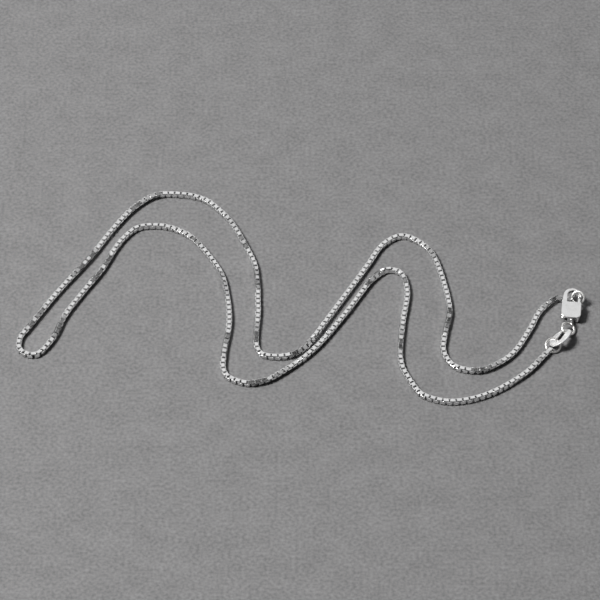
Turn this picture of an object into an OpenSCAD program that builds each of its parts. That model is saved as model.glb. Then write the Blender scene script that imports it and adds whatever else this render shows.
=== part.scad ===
// Box chain necklace, fastened and lying flat in a doubled wavy loop, in millimetres.
// +X runs from the far left turn of the chain to the clasp, +Y away from the viewer, +Z up.
// The origin is on the surface that the necklace lies on, below the middle of its outline.

/* [Chain] */
// Width of the chain across its flat sides
chain_w = 1.1; // [0.9:0.05:1.2]
// Width of the flat strip that each link is bent from
strip_w = 0.7; // [0.5:0.05:0.72]
// Thickness of the strip
strip_t = 0.16; // [0.12:0.01:0.18]
// Length of the plain link that ends each strand
end_link_l = 1.3; // [1.25:0.05:1.5]
// Gap left between neighbouring pieces
piece_gap = 0.05; // [0.02:0.01:0.08]

/* [Rings] */
// Outer diameter of the small ring on the chain's upper end
end_ring_d = 2.35; // [2.25:0.05:2.45]
// Wire of the small ring on the chain's upper end
end_ring_wire = 0.34; // [0.3:0.02:0.36]
// Outer diameter of the ring that the clasp closes on
hook_ring_d = 2.85; // [2.8:0.05:3]
// Wire of the ring that the clasp closes on
hook_ring_wire = 0.42; // [0.36:0.02:0.44]
// Outer diameter of the heavy ring in the clasp's tail eye
tail_ring_d = 3.15; // [3.1:0.05:3.3]
// Wire of the heavy ring in the clasp's tail eye
tail_ring_wire = 0.5; // [0.44:0.02:0.54]
// Outer diameter of the ring that joins the tag to the chain
jump_ring_d = 3.3; // [3.2:0.05:3.4]
// Wire of the ring that joins the tag to the chain
jump_ring_wire = 0.42; // [0.34:0.02:0.5]

/* [Tag] */
// Length of the flat oval end tag
tag_l = 5.7; // [5.6:0.1:6]
// Width of the flat oval end tag
tag_w = 4.2; // [4.1:0.1:4.4]
// Thickness of the tag
tag_t = 0.3; // [0.24:0.02:0.34]
// Radius of the tag's rounded ends
tag_end_r = 1.9; // [1.8:0.05:1.95]
// Width of the tag's rim at its near end, between the slot and the edge
tag_rim = 1.6; // [1.5:0.05:1.7]
// Width of the slot
slot_w = 1.2; // [1.15:0.05:1.3]
// Width of the tag's bar at its far end, between the slot and the rim
tag_bar = 0.5; // [0.44:0.02:0.56]
// Distance from the tag's middle line to the slot's, towards the lower side
slot_shift = 0.1; // [0.05:0.05:0.2]

/* [Clasp] */
// Width of the clasp's plate
clasp_w = 4; // [3.8:0.1:4.2]
// Length of the clasp's plate, from the tail edge to the hook's opening
plate_l = 3.9; // [3.7:0.1:4]
// Thickness of the plate
plate_t = 1.7; // [1.6:0.05:1.9]
// Length of the hook beyond the plate
hook_l = 3.6; // [3.5:0.05:3.8]
// Width of the hook across its outside
hook_w = 3.6; // [3.4:0.05:3.7]
// Width of the hook's back
back_w = 1; // [0.9:0.05:1.1]
// Width of the hook's nose
nose_w = 0.75; // [0.7:0.05:0.8]
// Thickness of the hook at its tip
hook_t = 0.75; // [0.6:0.05:0.9]
// Thickness of the lever
lever_t = 0.8; // [0.7:0.05:0.9]
// Width of the lever's gate arm
gate_w = 0.6; // [0.5:0.05:0.65]
// Width of the lever's thumb tab
tab_w = 0.55; // [0.45:0.05:0.6]
// Radius of the lever's hub
hub_r = 0.7; // [0.65:0.05:0.75]
// Diameter of the rivet
rivet_d = 0.6; // [0.5:0.05:0.7]
// Radial clearance of the lever on the rivet
rivet_play = 0.05; // [0.03:0.01:0.07]
// Clearance on each side of the lever in its slot
lever_play = 0.08; // [0.05:0.01:0.1]
// Hole through the tail eye
eye_d = 0.96; // [0.92:0.02:1]
// Wire of the tail eye
eye_wire = 0.4; // [0.36:0.02:0.42]

/* [Hidden] */

silver = [0.82, 0.82, 0.84];
silver_dark = [0.7, 0.7, 0.73];

// Middle of the chain as seen from above, from near the clasp round to near the end tag
route_between = [
    [50, -1.5], [47.5, -4.5], [45.5, -9], [41.5, -16], [36, -20], [32, -20],
    [29.5, -18.5], [28, -15], [28.5, -10], [29.5, -4.5], [29, 1.5], [26.5, 12], [23, 16],
    [20, 17], [16.5, 14.5], [13.5, 9], [10, 2.5], [4.5, -7.5], [2, -12], [-1, -15.5],
    [-4.5, -16.5], [-8, -15.8], [-9.2, -13], [-8.8, -3], [-9.5, 8], [-11, 13],
    [-14.5, 21], [-17, 24.5], [-20, 27.5], [-24, 29], [-30, 28.9], [-34.5, 25.3], [-38.5, 19.3],
    [-43, 11], [-49.5, 0.5], [-55, -9.5], [-56, -11.5], [-56, -14.5],
    [-54, -16], [-52, -15.5], [-49.5, -11.5], [-47.5, -5.5], [-43, 3], [-40.5, 7.5], [-38, 13.5],
    [-36, 17], [-33.5, 19.5], [-29.5, 20], [-26, 19], [-22.5, 16.5], [-19, 11.5],
    [-16.5, 6.5], [-15.5, 2.5], [-14.5, -6.5], [-15.5, -15.5], [-15.5, -20], [-14.5, -22],
    [-11.5, -23.5], [-9, -23.5], [-5.5, -22], [2, -15], [8, -6], [12, 1], [14, 4.5],
    [16.5, 7], [18.2, 7.4], [20.2, 6.2], [21.2, 2], [21, -1.5], [20, -8], [19.5, -18],
    [22, -24.5], [24, -27], [29.5, -28.5], [36.5, -26.5], [44, -21]];
link_corner_r = strip_t * 1.5;

// Where the clasp's tail edge lies, how far its hook end is raised, and how far it leans
clasp_at = [53.6, -6.8, 0.25];
clasp_tilt = 9;
clasp_lean = 6;

// Depth by which shapes that are joined or cut reach into each other
overlap = 0.1;

// The clasp's own outline: across is x, towards the hook is y
half_w = clasp_w / 2;
clasp_l = plate_l + hook_l;
tail_r_left = 1.3;
tail_r_right = 1;
shoulder_r = 0.4;
hook_r = hook_w / 2;
hook_x = 0.05;
back_lean = 0.12;
hook_y = clasp_l - hook_r;
hook_left = hook_x - hook_r;
hook_right = hook_x + hook_r;
opening_left = hook_left + back_w - back_lean;
opening_right = hook_right - nose_w;
opening_r = (opening_right - opening_left) / 2;
opening_x = (opening_right + opening_left) / 2;
top_bar = 0.58;
opening_y = clasp_l - top_bar - opening_r;
hook_root_t = 0.9;

pivot = [0.7, 1.9];
gate_right = 1.75;
gate_past = 1.35;
gate_reach = plate_l + gate_past - pivot[1];
nose_gap = 0.08;
tab_end = [-1.6, 0.35];
lever_swing = 11;
slot_t = lever_t + 2 * lever_play;
mid_t = plate_t / 2;
tab_vec = tab_end - pivot;
tab_len = norm(tab_vec);
tab_dir = atan2(tab_vec[1], tab_vec[0]);
slot_left = -0.2;

eye_at = [0.2, -1.15];
eye_major = (eye_d + eye_wire) / 2;
neck_r = 0.28;

// Which way each ring's raised side points, and how far it is tilted
end_ring_turn = -36;
end_ring_tilt = 63;
hook_ring_turn = 73;
hook_ring_tilt = 54;
tail_ring_turn = 151;
tail_ring_tilt = 25.5;
jump_ring_turn = 100;
jump_ring_tilt = 24.5;
tag_turn = [-33, 5.5, 61];

// A direction turned as a ring lies, and a point on the middle line of a ring's wire
function ring_turned(v, turn_to, tilt) =
    let (w = [v[0] * cos(tilt) - v[2] * sin(tilt), v[1], v[0] * sin(tilt) + v[2] * cos(tilt)])
    [w[0] * cos(turn_to) - w[1] * sin(turn_to), w[0] * sin(turn_to) + w[1] * cos(turn_to), w[2]];
function ring_reach(phase, turn_to, tilt, d, wire) =
    (d - wire) / 2 * ring_turned([cos(phase), sin(phase), 0], turn_to, tilt);

// Points of the clasp and of the tag, as they lie
function about_x(v, a) = [v[0], v[1] * cos(a) - v[2] * sin(a), v[1] * sin(a) + v[2] * cos(a)];
function about_y(v, a) = [v[0] * cos(a) + v[2] * sin(a), v[1], v[2] * cos(a) - v[0] * sin(a)];
function about_z(v, a) = [v[0] * cos(a) - v[1] * sin(a), v[0] * sin(a) + v[1] * cos(a), v[2]];
function clasp_point(v) = clasp_at + about_z(about_x(v, clasp_tilt), -clasp_lean);
function tag_turned(v) = about_z(about_y(about_x(v, tag_turn[0]), tag_turn[1]), tag_turn[2]);

// The ring in the hook passes through the opening, this far beyond the plate
hook_ring_in = [0.02, 2.03];
hook_ring_phase = 83;
hook_ring_at = clasp_point([hook_ring_in[0], plate_l + hook_ring_in[1], mid_t])
    - ring_reach(hook_ring_phase, hook_ring_turn, hook_ring_tilt, hook_ring_d, hook_ring_wire);

// The small ring passes through the ring in the hook, just inside its wire
end_ring_gap = 0.14;
end_ring_side = 65.5;
end_ring_phase = 35;
end_ring_at = hook_ring_at
    + ring_reach(end_ring_side, hook_ring_turn, hook_ring_tilt,
                 hook_ring_d - hook_ring_wire - end_ring_wire - 2 * end_ring_gap, hook_ring_wire)
    - ring_reach(end_ring_phase, end_ring_turn, end_ring_tilt, end_ring_d, end_ring_wire);

// The heavy ring passes through the tail eye, a little above its middle
tail_ring_in = [-0.03, 0.11];
tail_ring_phase = 270;
tail_ring_at = clasp_point([eye_at[0], eye_at[1] + tail_ring_in[0], mid_t + tail_ring_in[1]])
    - ring_reach(tail_ring_phase, tail_ring_turn, tail_ring_tilt, tail_ring_d, tail_ring_wire);

// The tag hangs on the heavy ring by the far end of its slot
tag_in = [0.39, 0.05];
tag_phase = 80.8;
slot_end = tag_l / 2 - tag_bar;
slot_l = tag_l - tag_bar - tag_rim;
tag_at = tail_ring_at
    + ring_reach(tag_phase, tail_ring_turn, tail_ring_tilt, tail_ring_d, tail_ring_wire)
    - tag_turned([slot_end - tag_in[0], slot_shift - tag_in[1], 0]);

// The thin ring passes through the near end of the slot
jump_ring_in = [0.35, 0.04];
jump_ring_phase = 307.4;
jump_ring_at = tag_at
    + tag_turned([slot_end - slot_l + jump_ring_in[0], slot_shift + jump_ring_in[1], 0])
    - ring_reach(jump_ring_phase, jump_ring_turn, jump_ring_tilt, jump_ring_d, jump_ring_wire);

// Each strand ends in a plain link round the low side of its ring
start_phase = 184;
start_run = [-1.5, 0.5];
start_link_in = 0.08;
end_phase = 139;
link_reach = end_link_l / 2 + piece_gap;
function flat(v) = [v[0], v[1]];
start_link_at = start_link_in * start_run / norm(start_run) + flat(end_ring_at
    + ring_reach(start_phase, end_ring_turn, end_ring_tilt, end_ring_d, end_ring_wire));
end_link_at = flat(jump_ring_at
    + ring_reach(end_phase, jump_ring_turn, jump_ring_tilt, jump_ring_d, jump_ring_wire));
chain_start = start_link_at + link_reach * start_run / norm(start_run);
end_run = end_link_at - route_between[len(route_between) - 1];
chain_end = end_link_at - link_reach * end_run / norm(end_run);
route = concat([chain_start, chain_start + start_run], route_between, [chain_end]);

// Index of the route's point at the far left turn, where the two strands meet
turn = 39;
last = len(route) - 1;

// Direction in which the chain runs at a point of its route
function step(i) = (route[i + 1] - route[i]) / norm(route[i + 1] - route[i]);
function heading(i) =
    i == 0 ? step(0) : i == last ? step(last - 1) : let (s = step(i - 1) + step(i)) s / norm(s);

// The eight corners of the space that the turned links fill, across and up
function chain_section() =
    let (a = chain_w / 2, b = strip_w / 2)
    [[a, -b], [a, b], [b, a], [-b, a], [-a, b], [-a, -b], [-b, -a], [b, -a]];

function ring_points(i) =
    let (h = heading(i))
    [for (c = chain_section())
        [route[i][0] + h[1] * c[0], route[i][1] - h[0] * c[0], chain_w / 2 + c[1]]];

// One strand of the chain, between two points of the route
module strand(first, final) {
    rings = final - first + 1;
    sides = len(chain_section());
    polyhedron(
        points = [for (i = [first:final]) each ring_points(i)],
        faces = concat(
            [[for (k = [sides - 1:-1:0]) k]],
            [for (i = [0:rings - 2]) for (k = [0:sides - 1])
                [i * sides + k, i * sides + (k + 1) % sides,
                 (i + 1) * sides + (k + 1) % sides, (i + 1) * sides + k]],
            [[for (k = [0:sides - 1]) (rings - 1) * sides + k]]));
}

module rounded_rect(l, w, r) {
    square([l - 2 * r, w], center = true);
    square([l, w - 2 * r], center = true);
    for (x = [-1, 1], y = [-1, 1])
        translate([x * (l / 2 - r), y * (w / 2 - r)]) circle(r = r, $fn = 24);
}

module stadium(l, w) {
    square([l - w, w], center = true);
    for (x = [-1, 1]) translate([x * (l - w) / 2, 0]) circle(d = w, $fn = 48);
}

// A plain square link standing on its edge, with its length along x
module end_link() {
    translate([0, 0, chain_w / 2]) rotate([90, 0, 0])
        linear_extrude(height = strip_w, center = true)
            difference() {
                rounded_rect(end_link_l, chain_w, link_corner_r);
                rounded_rect(end_link_l - 2 * strip_t, chain_w - 2 * strip_t, link_corner_r - strip_t);
            }
}

// An end link in place, in line with the chain at one end of the route
module end_link_in(at, i) {
    translate([at[0], at[1], 0])
        rotate([0, 0, atan2(heading(i)[1], heading(i)[0])]) end_link();
}

module round_ring(d, wire) {
    rotate_extrude($fn = 96) translate([(d - wire) / 2, 0]) circle(d = wire, $fn = 32);
}

module tilted(at, turn_to, tilt) {
    translate(at) rotate([0, 0, turn_to]) rotate([0, -tilt, 0]) children();
}

module clasp_frame() {
    translate(clasp_at) rotate([clasp_tilt, 0, -clasp_lean]) children();
}

// An oval of four arcs, with its length along x
module oval(l, w, end_r) {
    c = l / 2 - end_r;
    side_r = (c * c + w * w / 4 - end_r * end_r) / (w - 2 * end_r);
    meet = c * side_r / (side_r - end_r);
    for (s = [-1, 1]) translate([s * c, 0]) circle(r = end_r, $fn = 64);
    intersection() {
        translate([0, w / 2 - side_r]) circle(r = side_r, $fn = 128);
        translate([0, side_r - w / 2]) circle(r = side_r, $fn = 128);
        square([2 * meet, w], center = true);
    }
}

module chain_outer() {
    color(silver) strand(0, turn);
}

module chain_inner() {
    color(silver) strand(turn, last);
}

module upper_end_link() {
    color(silver) end_link_in(start_link_at, 0);
}

module lower_end_link() {
    color(silver) end_link_in(end_link_at, last);
}

module upper_end_ring() {
    color(silver)
        tilted(end_ring_at, end_ring_turn, end_ring_tilt) round_ring(end_ring_d, end_ring_wire);
}

module hook_ring() {
    color(silver)
        tilted(hook_ring_at, hook_ring_turn, hook_ring_tilt)
            round_ring(hook_ring_d, hook_ring_wire);
}

module tail_ring() {
    color(silver)
        tilted(tail_ring_at, tail_ring_turn, tail_ring_tilt)
            round_ring(tail_ring_d, tail_ring_wire);
}

module jump_ring() {
    color(silver)
        tilted(jump_ring_at, jump_ring_turn, jump_ring_tilt)
            round_ring(jump_ring_d, jump_ring_wire);
}

module oval_tag() {
    color(silver)
        translate(tag_at) rotate(tag_turn)
            linear_extrude(height = tag_t, center = true)
                difference() {
                    oval(tag_l, tag_w, tag_end_r);
                    translate([slot_end - slot_l / 2, slot_shift])
                        stadium(slot_l, slot_w);
                }
}

// Plate and hook seen from above, without the lever's slot
module clasp_outline() {
    difference() {
        union() {
            translate([tail_r_left - half_w, tail_r_left]) circle(r = tail_r_left, $fn = 48);
            translate([half_w - tail_r_right, tail_r_right]) circle(r = tail_r_right, $fn = 48);
            translate([tail_r_left - half_w, 0])
                square([clasp_w - tail_r_left - tail_r_right, tail_r_left]);
            translate([half_w - tail_r_right, tail_r_right])
                square([tail_r_right, tail_r_left - tail_r_right]);
            translate([-half_w, tail_r_left])
                square([clasp_w, plate_l - tail_r_left - shoulder_r]);
            translate([-half_w, plate_l - shoulder_r - overlap])
                square([clasp_w - shoulder_r, shoulder_r + overlap]);
            translate([half_w - shoulder_r, plate_l - shoulder_r])
                circle(r = shoulder_r, $fn = 32);
            polygon([[-half_w, plate_l - shoulder_r], [hook_left, hook_y], [hook_right, hook_y],
                     [hook_right, plate_l - shoulder_r]]);
            translate([hook_x, hook_y]) circle(r = hook_r, $fn = 64);
        }
        translate([opening_x, opening_y]) circle(r = opening_r, $fn = 48);
        translate([opening_left, plate_l]) square([2 * opening_r, opening_y - plate_l]);
        intersection() {
            translate(pivot) circle(r = gate_reach + nose_gap, $fn = 96);
            translate([opening_right - overlap, plate_l]) square([half_w, clasp_l - plate_l]);
        }
    }
}

// Plate and hook seen from the side: towards the hook is x, up is y
module clasp_side() {
    polygon([
        [0, 0], [plate_l, 0], [hook_y, (plate_t - hook_root_t) / 2],
        [clasp_l, (plate_t - hook_t) / 2], [clasp_l, (plate_t + hook_t) / 2],
        [hook_y, (plate_t + hook_root_t) / 2], [plate_l, plate_t], [0, plate_t]]);
}

// The space that the lever sweeps inside the plate, seen from above
module lever_slot() {
    reach_r = hub_r + lever_play;
    translate([slot_left, pivot[1]]) square([clasp_w, plate_l - pivot[1] + overlap]);
    translate(pivot) circle(r = reach_r, $fn = 48);
    translate([pivot[0], pivot[1] - reach_r]) square([clasp_w, reach_r]);
    for (a = [0:lever_swing / 2:lever_swing])
        translate(pivot) rotate(tab_dir + a)
            translate([0, -tab_w / 2 - lever_play])
                square([tab_len * 2, tab_w + 2 * lever_play]);
}

module clasp_body() {
    color(silver)
        clasp_frame() {
            difference() {
                union() {
                    intersection() {
                        linear_extrude(height = plate_t) clasp_outline();
                        rotate([90, 0, 90]) translate([0, 0, -half_w])
                            linear_extrude(height = clasp_w) clasp_side();
                    }
                    translate([eye_at[0], eye_at[1] + eye_major, mid_t]) rotate([-90, 0, 0])
                        cylinder(r = neck_r, h = 2 * overlap - eye_at[1] - eye_major, $fn = 32);
                }
                translate([0, 0, mid_t - slot_t / 2])
                    linear_extrude(height = slot_t) lever_slot();
                translate([pivot[0], pivot[1], -overlap])
                    cylinder(d = rivet_d + rivet_play, h = plate_t + 2 * overlap, $fn = 48);
            }
            translate([eye_at[0], eye_at[1], mid_t]) rotate([0, 90, 0])
                round_ring(eye_d + 2 * eye_wire, eye_wire);
        }
}

module clasp_lever() {
    color(silver_dark)
        clasp_frame()
            translate([0, 0, mid_t - lever_t / 2])
                linear_extrude(height = lever_t)
                    difference() {
                        union() {
                            translate(pivot) circle(r = hub_r, $fn = 48);
                            intersection() {
                                translate([gate_right - gate_w, pivot[1]])
                                    square([gate_w, gate_reach]);
                                translate(pivot) circle(r = gate_reach, $fn = 96);
                            }
                            translate(pivot) rotate(tab_dir)
                                translate([0, -tab_w / 2]) square([tab_len, tab_w]);
                            translate(tab_end) circle(d = tab_w, $fn = 32);
                        }
                        translate(pivot) circle(r = rivet_d / 2 + rivet_play, $fn = 48);
                    }
}

module clasp_rivet() {
    color(silver)
        clasp_frame()
            translate([pivot[0], pivot[1], 0]) cylinder(d = rivet_d, h = plate_t, $fn = 48);
}

chain_outer();
chain_inner();
upper_end_link();
lower_end_link();
upper_end_ring();
hook_ring();
clasp_body();
clasp_lever();
clasp_rivet();
tail_ring();
oval_tag();
jump_ring();
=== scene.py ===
import math
import random

import bpy
from mathutils import Matrix, Vector


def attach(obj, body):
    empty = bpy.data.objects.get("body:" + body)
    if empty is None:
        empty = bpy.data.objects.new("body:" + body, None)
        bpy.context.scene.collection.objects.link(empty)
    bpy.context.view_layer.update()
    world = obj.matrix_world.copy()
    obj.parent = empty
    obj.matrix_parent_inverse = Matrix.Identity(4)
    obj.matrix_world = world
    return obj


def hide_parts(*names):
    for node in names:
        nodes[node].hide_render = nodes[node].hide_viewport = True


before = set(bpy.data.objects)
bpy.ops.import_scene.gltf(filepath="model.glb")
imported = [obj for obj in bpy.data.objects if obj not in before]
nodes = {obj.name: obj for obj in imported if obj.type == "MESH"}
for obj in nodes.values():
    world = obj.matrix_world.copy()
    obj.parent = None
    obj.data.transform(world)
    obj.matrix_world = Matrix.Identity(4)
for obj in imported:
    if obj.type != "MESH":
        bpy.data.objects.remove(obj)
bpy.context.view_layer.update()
mm = 0.001
print("frame loaded:", len(nodes), "nodes")


def deselectAll():
    if bpy.context.mode != "OBJECT":
        bpy.ops.object.mode_set(mode="OBJECT")
    bpy.ops.object.select_all(action="DESELECT")


def makeActive(obj):
    deselectAll()
    obj.select_set(True)
    bpy.context.view_layer.objects.active = obj


def scaleMesh(obj, factor):
    obj.data.transform(Matrix.Scale(factor, 4))


def applyModifier(obj, name, kind, **values):
    modifier = obj.modifiers.new(name, kind)
    for key, value in values.items():
        setattr(modifier, key, value)
    bpy.ops.object.modifier_apply(modifier=modifier.name)


def selectFaces(obj, test):
    bpy.ops.object.mode_set(mode="OBJECT")
    for face in obj.data.polygons:
        face.select = test(face)
    bpy.ops.object.mode_set(mode="EDIT")


def selectEdges(obj, test):
    bpy.ops.object.mode_set(mode="OBJECT")
    for face in obj.data.polygons:
        face.select = False
    for vertex in obj.data.vertices:
        vertex.select = False
    for edge in obj.data.edges:
        a, b = (obj.data.vertices[i].co for i in edge.vertices)
        edge.select = test(a, b)
    bpy.ops.object.mode_set(mode="EDIT")


# camera: the photograph's own viewing angle
cameraSet = {
    "aim": Vector((-0.0004, -0.0004, 0)),
    "elevation": 46.3,
    "distance": 0.704,
    "lens": 210,
    "sensor": 36,
    "clipStart": 0.01,
}


def addCamera(c):
    tilt = math.radians(c["elevation"])
    back = Vector((0, -math.cos(tilt), math.sin(tilt))) * c["distance"]
    deselectAll()
    bpy.ops.object.camera_add(location=c["aim"] + back, rotation=(math.pi / 2 - tilt, 0, 0))
    camera = bpy.context.object
    camera.name = "photoCamera"
    camera.data.lens = c["lens"]
    camera.data.sensor_width = c["sensor"]
    camera.data.clip_start = c["clipStart"]
    bpy.context.scene.camera = camera


addCamera(cameraSet)


# the chain's middle line from the clasp round to the end tag, in metres
route = [
    (0.053, -0.001), (0.0515, -0.0005), (0.05, -0.0015), (0.0475, -0.0045), (0.0455, -0.009),
    (0.0415, -0.016), (0.036, -0.02), (0.032, -0.02), (0.0295, -0.0185), (0.028, -0.015),
    (0.0285, -0.01), (0.0295, -0.0045), (0.029, 0.0015), (0.0265, 0.012), (0.023, 0.016),
    (0.02, 0.017), (0.0165, 0.0145), (0.0135, 0.009), (0.01, 0.0025), (0.0045, -0.0075),
    (0.002, -0.012), (-0.001, -0.0155), (-0.0045, -0.0165), (-0.008, -0.0158), (-0.0092, -0.013),
    (-0.0088, -0.003), (-0.0095, 0.008), (-0.011, 0.013), (-0.0145, 0.021), (-0.017, 0.0245),
    (-0.02, 0.0275), (-0.024, 0.029), (-0.03, 0.0289), (-0.0345, 0.0253), (-0.0385, 0.0193),
    (-0.043, 0.011), (-0.0495, 0.0005), (-0.055, -0.0095), (-0.056, -0.0115), (-0.056, -0.0145),
    (-0.054, -0.016), (-0.052, -0.0155), (-0.0495, -0.0115), (-0.0475, -0.0055), (-0.043, 0.003),
    (-0.0405, 0.0075), (-0.038, 0.0135), (-0.036, 0.017), (-0.0335, 0.0195), (-0.0295, 0.02),
    (-0.026, 0.019), (-0.0225, 0.0165), (-0.019, 0.0115), (-0.0165, 0.0065), (-0.0155, 0.0025),
    (-0.0145, -0.0065), (-0.0155, -0.0155), (-0.0155, -0.02), (-0.0145, -0.022),
    (-0.0115, -0.0235), (-0.009, -0.0235), (-0.0055, -0.022), (0.002, -0.015), (0.008, -0.006),
    (0.012, 0.001), (0.014, 0.0045), (0.0165, 0.007), (0.0182, 0.0074), (0.0202, 0.0062),
    (0.0212, 0.002), (0.021, -0.0015), (0.02, -0.008), (0.0195, -0.018), (0.022, -0.0245),
    (0.024, -0.027), (0.0295, -0.0285), (0.0365, -0.0265), (0.044, -0.021), (0.0485, -0.0155)]
farTurn = 39  # the route's point where the two strands meet

# a square link bent from flat strip, sizes in millimetres
linkSet = {
    "length": 1.12,
    "width": 1.1,
    "strip": 0.72,
    "thickness": 0.16,
    "corner": 0.12,
    "innerCorner": 0.05,
    "rim": 0.035,
    "facing": 0.9,  # least z of the normal of the two faces that are opened
    # the darker inside is painted shade of the link's hollow
    "wall": 0.9,  # share of the thickness that counts as the wall, for the darker inside
    "nearly": 0.0001,
    "smoothTo": 30,  # degrees
    "pitch": 0.6585,
    "firstAt": 0.075,
    "clearance": 0.02,  # between a turned link and the floor
    "lookBack": 6,  # pieces of the line
    "play": (3, 2.5, 2.5),  # degrees about the link's own axes
    "seed": 7,
}

# how far the chain is turned about its own line: middle of each turn and its length along the
# chain in millimetres, with the degrees between them
rollSet = [
    (1, 90, 9), (4, -11, 4), (9, 11, 5), (23, -14, 5), (31, 14, 5), (42, 13, 5), (51, -13, 5),
    (60, -17, 5), (73, 17, 6), (110.8, 90, 15), (122.5, 14, 5), (131, -14, 5), (138, 20, 4),
    (146, -20, 5), (149, -12, 5), (170, 12, 6), (176, -17, 6), (189, 17, 6), (197, -20, 5),
    (207, 20, 5), (215.5, -20, 5), (225, 20, 5), (236.5, 22.5, 5), (246.5, -22.5, 5),
    (255.5, 18, 5), (265, -18, 5), (279, 14, 4), (290, -14, 6), (296, -17, 5), (305, 17, 4),
    (314, -19, 5), (322, 19, 4), (330, 17.5, 5), (341, -17.5, 5), (371, 90, 12), (375.5, 13, 4),
    (382, -13, 5), (391, -11, 5), (402, 11, 5), (437, 7, 5)]
# a slow waver on top of that, in degrees and millimetres, which fades out at both ends
rollWave = {"degrees": 2, "length": 31, "second": 7.7, "share": 0.8, "fade": 4}


def smoothLine(points, pieces=12):
    # Hermite curve through the points, each tangent along the line between its neighbours
    p = [Vector((x, y, 0)) for x, y in points]
    tangents = []
    for i in range(len(p)):
        a, b, c = p[max(i - 1, 0)], p[i], p[min(i + 1, len(p) - 1)]
        tangents.append((c - a) / ((b - a).length + (c - b).length))
    line, marks = [], []
    for i in range(len(p) - 1):
        marks.append(len(line))
        span = (p[i + 1] - p[i]).length
        for k in range(pieces):
            t = k / pieces
            line.append(
                p[i] * (2 * t**3 - 3 * t**2 + 1)
                + tangents[i] * span * (t**3 - 2 * t**2 + t)
                + p[i + 1] * (3 * t**2 - 2 * t**3)
                + tangents[i + 1] * span * (t**3 - t**2))
    marks.append(len(line))
    line.append(p[-1])
    return line, marks


def lengthsAlong(line):
    lengths = [0.0]
    for a, b in zip(line, line[1:]):
        lengths.append(lengths[-1] + (b - a).length)
    return lengths


def pointAt(line, lengths, s, hint):
    # the hint is a piece of the line at or before s: the search starts there
    while hint < len(line) - 2 and lengths[hint + 1] < s:
        hint += 1
    span = lengths[hint + 1] - lengths[hint]
    return line[hint].lerp(line[hint + 1], (s - lengths[hint]) / span), hint


def smoothStep(t):
    t = min(max(t, 0), 1)
    return t * t * (3 - 2 * t)


def rollAt(s, total):
    # s and total in millimetres, the answer in radians
    w = rollWave
    fade = smoothStep(s / w["fade"]) * smoothStep((total - s) / w["fade"])
    wave = math.sin(2 * math.pi * s / w["length"])
    wave += w["share"] * math.sin(2 * math.pi * s / w["second"])
    roll = w["degrees"] * wave * fade
    for place, degrees, length in rollSet:
        roll += degrees * smoothStep((s - place) / length + 0.5)
    return math.radians(roll)


def squareLink(c):
    # a bar with a hole through it, its four corners rounded and its outer rims broken
    deselectAll()
    bpy.ops.mesh.primitive_cube_add(size=1, scale=(c["length"], c["width"], c["strip"]))
    link = bpy.context.object
    link.name = "squareLink"
    bpy.ops.object.transform_apply(location=False, rotation=False, scale=True)
    bpy.ops.object.mode_set(mode="EDIT")
    bpy.ops.mesh.select_mode(type="FACE")
    selectFaces(link, lambda face: abs(face.normal.z) > c["facing"])
    bpy.ops.mesh.inset(thickness=c["thickness"])
    bpy.ops.mesh.delete(type="FACE")
    bpy.ops.mesh.select_mode(type="EDGE")
    bpy.ops.mesh.select_non_manifold(
        extend=False, use_wire=False, use_boundary=True, use_multi_face=False,
        use_non_contiguous=False, use_verts=False)
    bpy.ops.mesh.bridge_edge_loops()
    outer = c["length"] / 2 - c["thickness"] / 2

    def upright(a, b):
        return abs(a.z - b.z) > c["strip"] / 2

    selectEdges(link, lambda a, b: upright(a, b) and abs(a.x) > outer)
    bpy.ops.mesh.bevel(offset=c["corner"], offset_type="OFFSET", segments=1)
    selectEdges(link, lambda a, b: upright(a, b) and abs(a.x) < outer
                and abs(a.y) < c["width"] / 2 - c["thickness"] / 2)
    bpy.ops.mesh.bevel(offset=c["innerCorner"], offset_type="OFFSET", segments=1)

    def onOutside(p):
        side = max(abs(p.x) - c["length"] / 2, abs(p.y) - c["width"] / 2)
        return side > -c["nearly"]

    selectEdges(link, lambda a, b: onOutside(a) and onOutside(b) and a.z * b.z > 0
                and abs(a.z) > c["strip"] / 2 - c["nearly"])
    bpy.ops.mesh.bevel(offset=c["rim"], offset_type="OFFSET", segments=1)
    bpy.ops.mesh.select_all(action="SELECT")
    bpy.ops.mesh.normals_make_consistent(inside=False)
    bpy.ops.object.mode_set(mode="OBJECT")
    # the faces in the link's hollow get the recess mark, which paints shade there: the silver is
    # drawn darker where the links hide each other
    inside = link.data.attributes.new("recessShade", "FLOAT", "POINT")
    wall = c["thickness"] * c["wall"]
    for i, vertex in enumerate(link.data.vertices):
        within = (abs(vertex.co.x) < c["length"] / 2 - wall
                  and abs(vertex.co.y) < c["width"] / 2 - wall)
        inside.data[i].value = 1.0 if within else 0.0
    makeActive(link)
    bpy.ops.object.shade_smooth_by_angle(angle=math.radians(c["smoothTo"]))
    return link


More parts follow.
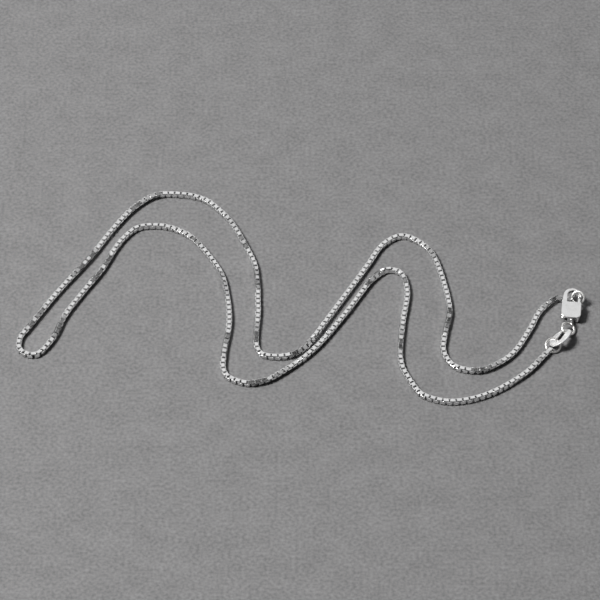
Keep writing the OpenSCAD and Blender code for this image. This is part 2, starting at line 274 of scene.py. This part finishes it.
def buildChain(c):
    line, marks = smoothLine(route)
    lengths = lengthsAlong(line)
    total = lengths[-1] / mm
    # an even count, so that the first link and the last are turned alike
    count = 2 * round((total - 2 * c["firstAt"]) / c["pitch"] / 2)
    pitch = (total - 2 * c["firstAt"]) / count
    turnAt = lengths[marks[farTurn]] / mm
    link = squareLink(c)
    draw = random.Random(c["seed"])
    strands = {"chain_outer": [], "chain_inner": []}
    half, short = c["width"] / 2 + c["clearance"], c["strip"] / 2 + c["clearance"]
    hint = 0
    for i in range(count + 1):
        s = c["firstAt"] + i * pitch
        place, hint = pointAt(line, lengths, s * mm, hint)
        start = max(hint - c["lookBack"], 0)
        back, _ = pointAt(line, lengths, max(s - pitch / 2, 0) * mm, start)
        ahead, _ = pointAt(line, lengths, min(s + pitch / 2, total) * mm, start)
        along = (ahead - back).normalized()
        roll = rollAt(s, total)
        tilt, level = abs(math.sin(roll)), abs(math.cos(roll))
        height = max(half * level + short * tilt, half * tilt + short * level, c["width"] / 2)
        turn = Matrix(((along.x, -along.y, 0), (along.y, along.x, 0), (0, 0, 1))).to_4x4()
        turn = turn @ Matrix.Rotation(roll + i % 2 * math.pi / 2, 4, "X")
        for axis, play in zip("XYZ", c["play"]):
            turn = turn @ Matrix.Rotation(math.radians(draw.uniform(-play, play)), 4, axis)
        mesh = link.data.copy()
        lift = Matrix.Translation((place.x, place.y, height * mm))
        mesh.transform(lift @ turn @ Matrix.Scale(mm, 4))
        copy = bpy.data.objects.new("link", mesh)
        bpy.context.scene.collection.objects.link(copy)
        strands["chain_outer" if s < turnAt else "chain_inner"].append(copy)
    bpy.data.objects.remove(link)
    made = {}
    for name, copies in strands.items():
        deselectAll()
        for copy in copies:
            copy.select_set(True)
        bpy.context.view_layer.objects.active = copies[0]
        bpy.ops.object.join()
        strand = bpy.context.object
        strand.name = "boxLinks_" + name.split("_")[1]
        made[name] = strand
        print(strand.name, len(copies), "links,", len(strand.data.polygons), "faces")
    print("chain length %.1f mm, pitch %.4f mm" % (total, pitch))
    return made


# how a copy of a CAD node is cleaned and rounded: millimetres and degrees
copySet = {"doubles": 0.002, "flat": 0.5, "sharp": 35, "smoothTo": 32, "tumbleShare": 0.5}


def roundedCopy(name, width, segments):
    # a copy of a CAD node with its doubles merged and its edges rounded, width in millimetres
    c = copySet
    source = nodes[name]
    copy = source.copy()
    copy.data = source.data.copy()
    copy.parent = None
    for key in list(copy.keys()):
        del copy[key]
    bpy.context.scene.collection.objects.link(copy)
    copy.name = name + "_rounded"
    copy.data.materials.clear()
    scaleMesh(copy, 1 / mm)
    makeActive(copy)
    bpy.ops.object.mode_set(mode="EDIT")
    bpy.ops.mesh.select_all(action="SELECT")
    bpy.ops.mesh.remove_doubles(threshold=c["doubles"])
    bpy.ops.mesh.dissolve_limited(angle_limit=math.radians(c["flat"]))
    bpy.ops.mesh.normals_make_consistent(inside=False)
    bpy.ops.object.mode_set(mode="OBJECT")
    if width:
        applyModifier(copy, "edges", "BEVEL", width=width, segments=segments,
                      limit_method="ANGLE", angle_limit=math.radians(c["sharp"]))
    bpy.ops.object.shade_smooth_by_angle(angle=math.radians(c["smoothTo"]))
    scaleMesh(copy, mm)
    return copy


def castCopy(name, voxel, smoothing, filler=""):
    # a CAD node cast anew: closed skin of even small faces (voxel in millimetres), its edges
    # rounded as by tumbling; the filler is a node that closes a hole of it
    copy = roundedCopy(name, 0, 1)
    if filler:
        plug = roundedCopy(filler, 0, 1)
        makeActive(copy)
        plug.select_set(True)
        bpy.ops.object.join()
    scaleMesh(copy, 1 / mm)
    makeActive(copy)
    applyModifier(copy, "skin", "REMESH", mode="VOXEL", voxel_size=voxel, use_smooth_shade=True)
    applyModifier(copy, "tumble", "SMOOTH", factor=copySet["tumbleShare"], iterations=smoothing)
    bpy.ops.object.shade_smooth()
    scaleMesh(copy, mm)
    return copy


def spreadCopy(name, swell, width, segments):
    # a pin hammered out in its hole, so that its ends close flush with the plate;
    # swell and width in millimetres
    copy = roundedCopy(name, 0, 1)
    scaleMesh(copy, 1 / mm)
    makeActive(copy)
    bpy.ops.object.mode_set(mode="EDIT")
    bpy.ops.mesh.select_all(action="SELECT")
    bpy.ops.transform.shrink_fatten(value=swell)
    bpy.ops.object.mode_set(mode="OBJECT")
    applyModifier(copy, "edges", "BEVEL", width=width, segments=segments, limit_method="ANGLE")
    scaleMesh(copy, mm)
    return copy


# sockets of a mix node for each kind of data: A, B and the result
mixSockets = {"FLOAT": (2, 3, 0), "RGBA": (6, 7, 2)}


def feed(tree, given, socket):
    # given is another node's output or a plain value
    if isinstance(given, bpy.types.NodeSocket):
        tree.links.new(given, socket)
    else:
        socket.default_value = given


def addMix(tree, kind, factor, a, b):
    mix = tree.nodes.new("ShaderNodeMix")
    mix.data_type = kind
    first, second, result = mixSockets[kind]
    for given, index in ((factor, 0), (a, first), (b, second)):
        feed(tree, given, mix.inputs[index])
    return mix.outputs[result]


def addMath(tree, operation, a, b):
    node = tree.nodes.new("ShaderNodeMath")
    node.operation = operation
    feed(tree, a, node.inputs[0])
    feed(tree, b, node.inputs[1])
    return node.outputs["Value"]


def addNoise(tree, place, scale, detail):
    noise = tree.nodes.new("ShaderNodeTexNoise")
    feed(tree, place, noise.inputs["Vector"])
    feed(tree, scale, noise.inputs["Scale"])
    feed(tree, detail, noise.inputs["Detail"])
    return noise.outputs["Fac"]


def addSpread(tree, value, low, high):
    spread = tree.nodes.new("ShaderNodeMapRange")
    feed(tree, value, spread.inputs["Value"])
    feed(tree, low, spread.inputs["From Min"])
    feed(tree, high, spread.inputs["From Max"])
    return spread.outputs["Result"]


def addBump(tree, height, strength, distance, shader):
    bump = tree.nodes.new("ShaderNodeBump")
    feed(tree, strength, bump.inputs["Strength"])
    feed(tree, distance, bump.inputs["Distance"])
    feed(tree, height, bump.inputs["Height"])
    feed(tree, bump.outputs["Normal"], shader.inputs["Normal"])


# silver: one shared group for the small wear that all finishes have, and for the painted shade
# that the recess mask lays into the hollows of the chain links
wearSet = {"cloudDetail": 3, "cloudLow": 0.35, "cloudHigh": 0.7, "grainDetail": 2}


def silverWearAndShadeGroup(c):
    group = bpy.data.node_groups.new("silverWearAndShade", "ShaderNodeTree")
    face = group.interface
    for name, kind, value in (
            ("Bright", "NodeSocketColor", (0.9, 0.89, 0.87, 1)),
            ("Dull", "NodeSocketColor", (0.6, 0.58, 0.55, 1)),
            ("Cloud Scale", "NodeSocketFloat", 900),
            ("Cloud Amount", "NodeSocketFloat", 0.3),
            ("Grain Scale", "NodeSocketFloat", 9000),
            ("Smooth Roughness", "NodeSocketFloat", 0.12),
            ("Worn Roughness", "NodeSocketFloat", 0.3),
            ("Recess Shade", "NodeSocketFloat", 0)):
        face.new_socket(name, in_out="INPUT", socket_type=kind).default_value = value
    for name, kind in (("Color", "NodeSocketColor"), ("Roughness", "NodeSocketFloat"),
                       ("Height", "NodeSocketFloat")):
        face.new_socket(name, in_out="OUTPUT", socket_type=kind)
    given = group.nodes.new("NodeGroupInput").outputs
    out = group.nodes.new("NodeGroupOutput").inputs
    place = group.nodes.new("ShaderNodeTexCoord").outputs["Object"]
    cloud = addNoise(group, place, given["Cloud Scale"], c["cloudDetail"])
    cloud = addSpread(group, cloud, c["cloudLow"], c["cloudHigh"])
    wearAndShade = addMath(group, "MULTIPLY", cloud, given["Cloud Amount"])
    # the recess mask is painted shade: it darkens the hollows as far as the Dull colour, on top
    # of the wear
    wearAndShade = addMath(group, "MAXIMUM", wearAndShade, given["Recess Shade"])
    grain = addNoise(group, place, given["Grain Scale"], c["grainDetail"])
    feed(group, addMix(group, "RGBA", wearAndShade, given["Bright"], given["Dull"]), out["Color"])
    rough = addMix(group, "FLOAT", wearAndShade, given["Smooth Roughness"], given["Worn Roughness"])
    feed(group, rough, out["Roughness"])
    feed(group, grain, out["Height"])
    return group


grainDepth = 0.00002
silverFinishes = {
    # the chain's Dull colour is this dark because it is mostly painted shade, for the links'
    # hollows
    "chainSilver": {"Bright": (0.89, 0.89, 0.89, 1), "Dull": (0.22, 0.22, 0.23, 1),
                    "Cloud Scale": 700, "Cloud Amount": 0.12, "Grain Scale": 12000,
                    "Smooth Roughness": 0.19, "Worn Roughness": 0.38, "bump": 0.05},
    "endLinkSilver": {"Bright": (0.85, 0.85, 0.85, 1), "Dull": (0.6, 0.6, 0.6, 1),
                      "Cloud Scale": 900, "Cloud Amount": 0.3, "Grain Scale": 9000,
                      "Smooth Roughness": 0.36, "Worn Roughness": 0.45, "bump": 0.06},
    "ringSilver": {"Bright": (0.93, 0.92, 0.91, 1), "Dull": (0.6, 0.58, 0.56, 1),
                   "Cloud Scale": 900, "Cloud Amount": 0.35, "Grain Scale": 9000,
                   "Smooth Roughness": 0.3, "Worn Roughness": 0.4, "bump": 0.06},
    "hookRingSilver": {"Bright": (0.97, 0.97, 0.96, 1), "Dull": (0.8, 0.8, 0.8, 1),
                       "Cloud Scale": 900, "Cloud Amount": 0.3, "Grain Scale": 9000,
                       "Smooth Roughness": 0.46, "Worn Roughness": 0.55, "bump": 0.06},
    # a darker copy of ringSilver: painted shade, for the small ring that lies under the hook
    "paintedShadeRingSilver": {"Bright": (0.42, 0.42, 0.42, 1), "Dull": (0.25, 0.25, 0.25, 1),
                         "Cloud Scale": 900, "Cloud Amount": 0.35, "Grain Scale": 9000,
                         "Smooth Roughness": 0.3, "Worn Roughness": 0.4, "bump": 0.06},
    "claspSilver": {"Bright": (0.86, 0.86, 0.86, 1), "Dull": (0.64, 0.63, 0.62, 1),
                    "Cloud Scale": 600, "Cloud Amount": 0.3, "Grain Scale": 7000,
                    "Smooth Roughness": 0.14, "Worn Roughness": 0.3, "bump": 0.06},
    "tagSilver": {"Bright": (0.97, 0.97, 0.97, 1), "Dull": (0.8, 0.8, 0.8, 1),
                  "Cloud Scale": 3600, "Cloud Amount": 0.6, "Grain Scale": 8000,
                  "Smooth Roughness": 0.42, "Worn Roughness": 0.5, "bump": 0.15},
}


def silver(name, group, finish, recessShadeName=""):
    material = bpy.data.materials.new(name)
    material.use_nodes = True
    tree = material.node_tree
    shader = tree.nodes["Principled BSDF"]
    shader.inputs["Metallic"].default_value = 1
    wearAndShadeNode = tree.nodes.new("ShaderNodeGroup")
    wearAndShadeNode.node_tree = group
    for key, value in finish.items():
        if key in wearAndShadeNode.inputs:
            wearAndShadeNode.inputs[key].default_value = value
    # the recess attribute paints shade into the chain links' hollows
    if recessShadeName:
        recessShade = tree.nodes.new("ShaderNodeAttribute")
        recessShade.attribute_name = recessShadeName
        feed(tree, recessShade.outputs["Fac"], wearAndShadeNode.inputs["Recess Shade"])
    feed(tree, wearAndShadeNode.outputs["Color"], shader.inputs["Base Color"])
    feed(tree, wearAndShadeNode.outputs["Roughness"], shader.inputs["Roughness"])
    addBump(tree, wearAndShadeNode.outputs["Height"], finish["bump"], grainDepth, shader)
    return material


wearAndShadeGroup = silverWearAndShadeGroup(wearSet)
materials = {
    name: silver(name, wearAndShadeGroup, finish, "recessShade" if name == "chainSilver" else "")
    for name, finish in silverFinishes.items()
}
print("silver finishes made")

strands = buildChain(linkSet)
for name, strand in strands.items():
    strand.data.materials.clear()
    strand.data.materials.append(materials["chainSilver"])
    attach(strand, "body")
    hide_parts(name)

# each finding: node, how its copy is made and with what values, finish, body, slot
findings = [
    ("upper_end_link", roundedCopy, (0.03, 1), "endLinkSilver", "body", "chain"),
    ("lower_end_link", roundedCopy, (0.03, 1), "endLinkSilver", "body", "chain"),
    # upper_end_ring gets the darker ring silver, which is painted shade
    ("upper_end_ring", roundedCopy, (0, 1), "paintedShadeRingSilver", "body", "rings"),
    ("hook_ring", roundedCopy, (0, 1), "hookRingSilver", "body", "rings"),
    ("tail_ring", roundedCopy, (0, 1), "ringSilver", "body", "rings"),
    ("jump_ring", roundedCopy, (0, 1), "ringSilver", "body", "rings"),
    ("clasp_body", castCopy, (0.045, 26, "clasp_rivet"), "claspSilver", "body", "clasp"),
    ("clasp_lever", castCopy, (0.04, 14), "claspSilver", "lever", "clasp"),
    ("clasp_rivet", spreadCopy, (0.008, 0.008, 2), "claspSilver", "body", "clasp"),
    ("oval_tag", castCopy, (0.045, 8), "tagSilver", "body", "tag"),
]
for name, method, sizes, finish, body, slot in findings:
    piece = method(name, *sizes)
    piece.data.materials.append(materials[finish])
    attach(piece, body)
    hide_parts(name)
    print(piece.name, len(piece.data.polygons), "faces")


# floor: a sheet of pale grey paper
floorSet = {
    "size": 3,
    "below": 0.00001,
    "color": (0.215, 0.215, 0.22, 1),
    "dark": (0.125, 0.125, 0.128, 1),
    "roughness": 0.9,
    "specular": 0.2,
    "fibre": 1500,
    "fibreDetail": 4,
    "blotch": 180,
    "blotchDetail": 2,
    "blotchShare": 0.22,
    "low": 0.31,
    "high": 0.69,
    "bump": 0.3,
    "bumpDepth": 0.00005,
}


def addFloor(c):
    deselectAll()
    bpy.ops.mesh.primitive_plane_add(size=c["size"], location=(0, 0, -c["below"]))
    floor = bpy.context.object
    floor.name = "paperFloor"
    material = bpy.data.materials.new("greyPaper")
    material.use_nodes = True
    tree = material.node_tree
    shader = tree.nodes["Principled BSDF"]
    shader.inputs["Roughness"].default_value = c["roughness"]
    shader.inputs["Specular IOR Level"].default_value = c["specular"]
    place = tree.nodes.new("ShaderNodeTexCoord").outputs["Object"]
    fibre = addNoise(tree, place, c["fibre"], c["fibreDetail"])
    blotch = addNoise(tree, place, c["blotch"], c["blotchDetail"])
    both = addMix(tree, "FLOAT", c["blotchShare"], fibre, blotch)
    spread = addSpread(tree, both, c["low"], c["high"])
    feed(tree, addMix(tree, "RGBA", spread, c["dark"], c["color"]), shader.inputs["Base Color"])
    addBump(tree, fibre, c["bump"], c["bumpDepth"], shader)
    floor.data.materials.append(material)


addFloor(floorSet)

# lights: a small key from the left, a panel behind that the flat links mirror, and dim cards
# round the object, which show only in the metal
lightSet = {
    "key": {"place": (-0.55, -0.06, 0.83), "size": (0.28, 0.28), "power": 16,
            "color": (1, 0.99, 0.97), "onFloor": True},
    "panel": {"place": (0, 0.6, 0.53), "size": (0.65, 1.1), "power": 1.75, "color": (1, 1, 1),
              "onFloor": True},
    "frontCard": {"place": (0, -0.72, 0.75), "size": (1.4, 1), "power": 0.9, "color": (1, 1, 1),
                  "onFloor": False},
    "leftCard": {"place": (-0.8, 0.1, 0.4), "size": (1, 0.8), "power": 0.9, "color": (1, 1, 1),
                 "onFloor": False},
    "rightCard": {"place": (0.8, 0.1, 0.4), "size": (1, 0.8), "power": 0.9, "color": (1, 1, 1),
                  "onFloor": False},
    "lowCard": {"place": (-0.3, 0.95, 0.12), "size": (1.2, 0.22), "power": 1, "color": (1, 1, 1),
                "onFloor": False},
}
worldSet = {"color": (0.8, 0.8, 0.82, 1), "strength": 0.03}


def addLight(name, c):
    deselectAll()
    bpy.ops.object.light_add(type="AREA", location=c["place"])
    light = bpy.context.object
    light.name = name + "Light"
    light.data.shape = "RECTANGLE"
    light.data.size, light.data.size_y = c["size"]
    light.data.energy = c["power"]
    light.data.color = c["color"]
    light.rotation_euler = (-Vector(c["place"])).to_track_quat("-Z", "Y").to_euler()
    light.visible_camera = False
    light.visible_diffuse = c["onFloor"]


for name, values in lightSet.items():
    addLight(name, values)
world = bpy.data.worlds.new("paleStudio")
world.use_nodes = True
world.node_tree.nodes["Background"].inputs["Color"].default_value = worldSet["color"]
world.node_tree.nodes["Background"].inputs["Strength"].default_value = worldSet["strength"]
bpy.context.scene.world = world
bpy.context.scene.view_settings.view_transform = "Standard"
print("floor, lights and camera placed")

bpy.context.view_layer.update()
